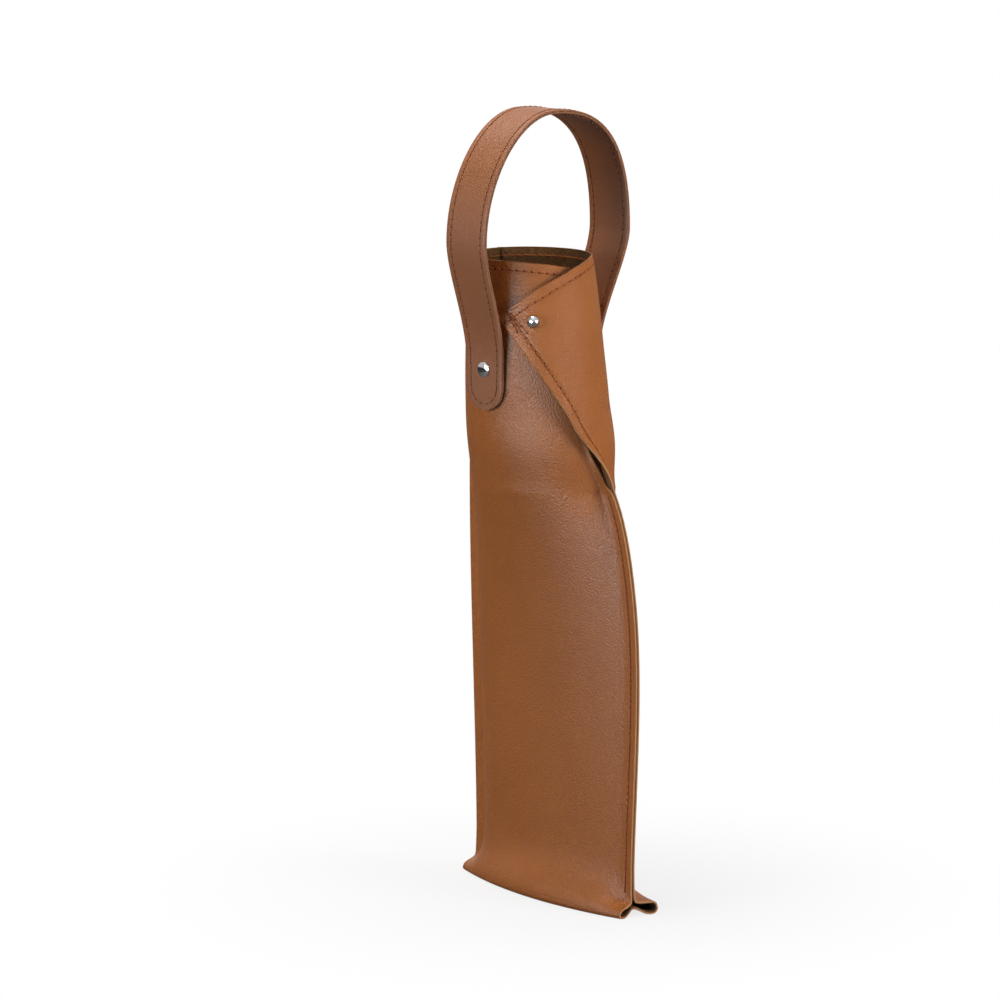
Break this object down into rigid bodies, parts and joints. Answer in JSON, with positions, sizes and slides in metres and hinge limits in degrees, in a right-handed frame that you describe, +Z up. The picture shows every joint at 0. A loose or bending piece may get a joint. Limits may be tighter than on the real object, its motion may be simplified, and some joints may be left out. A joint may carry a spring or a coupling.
{
  "type": "bottle carrier",
  "caption": "Tall leather bottle sleeve with a pleated base, a corner flap that buttons on a ball stud, and an arched carrying strap held by rivets.",
  "frame": {"origin": "on the floor under the middle of the whole carrier, strap included", "axes": "+Z up, +X from the left seam towards the right seam, -Y towards the front panel with the stud"},
  "size_m": [0.1491, 0.1192, 0.427],
  "materials": {
    "tan_leather": "satin",
    "strap_leather": "satin",
    "suede_lining": "matte",
    "nickel": "polished"
  },
  "bodies": {
    "sleeve": {"front_leather": "tan_leather", "front_lining": "suede_lining", "back_leather": "tan_leather", "back_lining": "suede_lining", "base_leather": "tan_leather", "base_lining": "suede_lining", "rivet_caps": "nickel", "rivet_backs": "nickel", "ball_stud": "nickel", "stud_screw": "nickel"},
    "flap": {"flap_leather": "tan_leather", "flap_lining": "suede_lining"},
    "strap": {"strap_outer": "strap_leather", "strap_inner": "strap_leather"}
  },
  "joints": [
    {"name": "flap_open", "type": "hinge", "parent": "sleeve", "child": "flap", "pos_m": [0.04369, 0.00399, 0.23028], "axis": [-0.2783, 0.0954, 0.9557], "range_deg": [0, 105]},
    {"name": "strap_swing", "type": "hinge", "parent": "sleeve", "child": "strap", "pos_m": [-0.01555, -0.00441, 0.29], "axis": [-0.196, 0.9806, 0], "range_deg": [-95, 95]}
  ]
}
